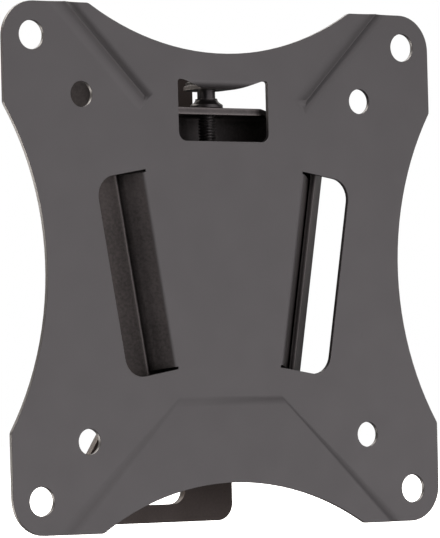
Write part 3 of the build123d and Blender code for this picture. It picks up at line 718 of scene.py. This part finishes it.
def turned(mesh, profile):
    """Closed solid of revolution from (radius, z) points, bottom to top."""
    add_rings(mesh, [[ring_point(r, i, z) for i in range(RING_STEPS)] for r, z in profile])


def shade_smooth(data):
    """Smooth shading, with creases kept sharp."""
    for face in data.polygons:
        face.use_smooth = True
    data.set_sharp_from_angle(angle=SHARP_ANGLE)


def finish_piece(mesh, name, finish, onto):
    """Turns a bmesh into an object in its place, with a finish."""
    bmesh.ops.recalc_face_normals(mesh, faces=mesh.faces)
    data = bpy.data.meshes.new(name)
    mesh.to_mesh(data)
    mesh.free()
    data.transform(onto)
    shade_smooth(data)
    data.materials.append(finish)
    made = bpy.data.objects.new(name, data)
    scene.collection.objects.link(made)
    return made


print("mesh helpers ready")

# %% Thread
THREAD_STEPS = 12            # rings in one pitch
CREST_SHARE = 1 / 8          # flat crest of a metric thread, as a share of the pitch
ROOT_SHARE = 1 / 4           # flat root
DEPTH_SHARE = 0.6134         # depth of a metric thread, as a share of the pitch
TIP_SHARE = 1.2              # chamfer at the tip, as a share of the depth


def groove_share(phase):
    """How deep the groove is at a phase of the pitch: 0 on the crest, 1 in the root."""
    from_crest = abs((phase + 0.5) % 1.0 - 0.5)
    flank = (1 - CREST_SHARE - ROOT_SHARE) / 2
    return min(1.0, max(0.0, (from_crest - CREST_SHARE / 2) / flank))


def threaded_bar(mesh, diameter, pitch, length, plain=0.0):
    """Bar from z = -length to 0, chamfered at its lower end; the last stretch is left plain."""
    depth = DEPTH_SHARE * pitch
    rings = []
    for row in range(round(length / pitch * THREAD_STEPS) + 1):
        up = min(length, row * pitch / THREAD_STEPS)
        widest = diameter / 2 - max(0.0, depth * TIP_SHARE - up)
        run_out = min(1.0, max(0.0, (length - plain - up) / pitch)) if plain else 1.0
        ring = []
        for i in range(RING_STEPS):
            cut = depth * run_out * groove_share(up / pitch - i / RING_STEPS)
            ring.append(ring_point(min(widest, diameter / 2 - cut), i, up - length))
        rings.append(ring)
    add_rings(mesh, rings)


print("thread profile", [round(groove_share(i / 8), 2) for i in range(8)])

# %% Lock bolt
LOCK_D = 4.0 * MM
LOCK_PITCH = 0.7 * MM
LOCK_HEAD_H = 2.6 * MM
LOCK_HEAD_SIDE = 0.9 * MM    # upright part of the head below its dome
LOCK_HEAD_SOFT = 0.15 * MM   # broken edge under the head
LOCK_TOP_R = 1.9 * MM        # flat on top of the dome
DOME_STEPS = 8
CROSS_ARM = 4.4 * MM
CROSS_WIDTH = 1.05 * MM
CROSS_DEPTH = 1.5 * MM
CROSS_TAPER = 0.45           # size of the recess at its floor, as a share of its mouth
CROSS_OVER = 0.2 * MM        # how far the cutter stands out of the head


def pan_head(mesh, radius, height):
    """Pan head with a rounded shoulder."""
    rise = height - LOCK_HEAD_SIDE
    profile = [(radius - LOCK_HEAD_SOFT, 0.0), (radius, LOCK_HEAD_SOFT)]
    for step in range(DOME_STEPS + 1):
        turn = math.radians(90 * step / DOME_STEPS)
        across = LOCK_TOP_R + (radius - LOCK_TOP_R) * math.cos(turn)
        profile.append((across, LOCK_HEAD_SIDE + rise * math.sin(turn)))
    turned(mesh, profile)


def cross_cutter(top_z):
    """Tapered cross that is taken out of the head."""
    a, w = CROSS_ARM / 2, CROSS_WIDTH / 2
    arm = [(w, w), (w, a), (-w, a)]
    outline = []
    for quarter in range(4):
        turn = Matrix.Rotation(math.radians(90 * quarter), 2)
        outline += [turn @ Vector(p) for p in arm]
    mesh = bmesh.new()
    levels = ((top_z + CROSS_OVER, 1.0), (top_z, 1.0), (top_z - CROSS_DEPTH, CROSS_TAPER))
    rows = [[mesh.verts.new((p.x * k, p.y * k, z)) for p in outline] for z, k in levels]
    for high, low in zip(rows, rows[1:]):
        for i in range(len(outline)):
            j = (i + 1) % len(outline)
            mesh.faces.new((high[i], high[j], low[j], low[i]))
    mesh.faces.new(rows[0])
    mesh.faces.new(list(reversed(rows[-1])))
    return mesh


def carve(target, cutter):
    """Takes the cutter out of the target for good and deletes the cutter."""
    cut = target.modifiers.new("recess", "BOOLEAN")
    cut.operation = "DIFFERENCE"
    cut.solver = "EXACT"
    cut.object = cutter
    depsgraph = bpy.context.evaluated_depsgraph_get()
    target.data = bpy.data.meshes.new_from_object(target.evaluated_get(depsgraph))
    target.modifiers.clear()
    bpy.data.objects.remove(cutter)


def make_lock_bolt():
    """Upright machine screw that locks the screen plate into the channel."""
    low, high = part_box("security_bolt")
    seat = high.z - LOCK_HEAD_H
    centre = Vector(((low.x + high.x) / 2, (low.y + high.y) / 2, seat))
    onto_seat = Matrix.Translation(centre)
    mesh = bmesh.new()
    pan_head(mesh, (high.x - low.x) / 2, LOCK_HEAD_H)
    bolt = finish_piece(mesh, "lock_bolt_threaded", plated["black_zinc"], onto_seat)
    carve(bolt, finish_piece(cross_cutter(LOCK_HEAD_H), "recess", plated["black_zinc"], onto_seat))
    whole = bmesh.new()
    whole.from_mesh(bolt.data)
    bar = bmesh.new()
    threaded_bar(bar, LOCK_D, LOCK_PITCH, seat - low.z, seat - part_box("security_nut")[1].z)
    bar.transform(onto_seat)
    spare = bpy.data.meshes.new("spare")
    bar.to_mesh(spare)
    bar.free()
    whole.from_mesh(spare)
    whole.to_mesh(bolt.data)
    whole.free()
    shade_smooth(bolt.data)
    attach(bolt, "tilt_head")
    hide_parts("security_bolt")
    return bolt


lock_bolt = make_lock_bolt()
print(lock_bolt.name, len(lock_bolt.data.polygons), "faces")

# %% [markdown]
# ## Lock nut
#
# The nut that sits on the channel's shelf is round, with a low rim and a hollow flank that
# sweeps up to the bolt. A ring turned from a closed outline gives the bore as well, which
# a solid lathe shape would not.

# %% Lock nut
NUT_SOFT = 0.15 * MM         # broken edges of the rim
NUT_RIM = 0.75 * MM          # upright rim
NUT_SHOULDER = 1.0 * MM      # height where the hollow flank starts
NUT_TOP_R = 2.45 * MM
NUT_BORE_R = 2.02 * MM
FLANK_STEPS = 8
FLANK_POWER = 2.2            # how hollow the flank is


def turned_ring(mesh, outline):
    """Closed ring from a loop of (radius, z) points."""
    made = [[mesh.verts.new(ring_point(r, i, z)) for i in range(RING_STEPS)] for r, z in outline]
    for low, high in zip(made, made[1:] + made[:1]):
        for i in range(RING_STEPS):
            j = (i + 1) % RING_STEPS
            mesh.faces.new((low[i], low[j], high[j], high[i]))


def make_lock_nut():
    """Round nut with a hollow flank, under the lock tab."""
    low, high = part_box("security_nut")
    radius, height = (high.x - low.x) / 2, high.z - low.z
    outline = [(NUT_BORE_R, 0.0), (radius - NUT_SOFT, 0.0), (radius, NUT_SOFT), (radius, NUT_RIM)]
    outline.append((radius - NUT_SOFT / 2, (NUT_RIM + NUT_SHOULDER) / 2))
    foot_r = radius - NUT_SOFT * 2
    for step in range(FLANK_STEPS + 1):
        share = step / FLANK_STEPS
        across = NUT_TOP_R + (foot_r - NUT_TOP_R) * (1 - share) ** FLANK_POWER
        outline.append((across, NUT_SHOULDER + (height - NUT_SHOULDER) * share))
    outline.append((NUT_BORE_R, height))
    mesh = bmesh.new()
    turned_ring(mesh, outline)
    onto_shelf = Matrix.Translation(((low.x + high.x) / 2, (low.y + high.y) / 2, low.z))
    nut = finish_piece(mesh, "lock_nut_hollow", plated["black_zinc"], onto_shelf)
    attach(nut, "tilt_head")
    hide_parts("security_nut")
    return nut


lock_nut = make_lock_nut()
print(lock_nut.name, len(lock_nut.data.polygons), "faces")

# %% [markdown]
# ## Pivot bolts
#
# Each pivot is a hexagon bolt through the ears, with washers, a dished spring and a lock
# nut. The head is a six-sided bar turned off at 30 degrees, which leaves a curved line on
# every flat. Following that curve with points round the head is simpler than cutting it.

# %% Pivot bolts
PIVOT_D = 5.0 * MM
PIVOT_PITCH = 0.8 * MM
PIVOT_HEAD_H = 3.5 * MM
HEAD_CHAMFER = math.radians(30)
HEAD_RISE = 0.05 * MM        # of the turned top above the chamfer
HEAD_TOP_SHARE = 0.96        # width of the turned top, as a share of the flats


def hexagon_radius(step, across_flats):
    """Distance from the axis to the hexagon at a step round the ring."""
    angle = 2 * math.pi * step / RING_STEPS
    from_flat = (angle + math.pi / 6) % (math.pi / 3) - math.pi / 6
    return across_flats / 2 / math.cos(from_flat)


def hexagon_head(mesh, across_flats, height):
    """Hexagon head with a turned-off top."""
    flat_r = across_flats / 2
    radii = [hexagon_radius(i, across_flats) for i in range(RING_STEPS)]
    drop = math.tan(HEAD_CHAMFER)
    low = [ring_point(r, i, 0.0) for i, r in enumerate(radii)]
    rim_z = height - HEAD_RISE
    high = [ring_point(r, i, rim_z - (r - flat_r) * drop) for i, r in enumerate(radii)]
    top = [ring_point(flat_r * HEAD_TOP_SHARE, i, height) for i in range(RING_STEPS)]
    add_rings(mesh, [low, high, top])


def make_pivot_bolt(side, outward):
    """Hexagon bolt on the tilt axis; outward is +1 on the right and -1 on the left."""
    low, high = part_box(f"pivot_bolt_{side}")
    tip_x, top_x = (low.x, high.x) if outward > 0 else (high.x, low.x)
    seat = Vector((top_x - outward * PIVOT_HEAD_H, (low.y + high.y) / 2, (low.z + high.z) / 2))
    lying = Matrix.Translation(seat) @ Matrix.Rotation(outward * math.radians(90), 4, "Y")
    mesh = bmesh.new()
    hexagon_head(mesh, high.y - low.y, PIVOT_HEAD_H)
    threaded_bar(mesh, PIVOT_D, PIVOT_PITCH, abs(seat.x - tip_x))
    bolt = finish_piece(mesh, f"pivot_bolt_threaded_{side}", plated["bright_zinc"], lying)
    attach(bolt, "wall_side")
    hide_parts(f"pivot_bolt_{side}")
    return bolt


for side, outward in (("right", 1), ("left", -1)):
    bolt = make_pivot_bolt(side, outward)
    print(bolt.name, len(bolt.data.polygons), "faces")

# %% [markdown]
# ## Sizes
#
# The looks must not change the size of the part, so the growth of the dressed bracket's box over
# the box of the CAD frame is printed.

# %% Sizes
seen_low, seen_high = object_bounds()
growth = (seen_high - seen_low) - (cad_high - cad_low)
print("grown by", [round(v / MM, 2) for v in growth], "mm")
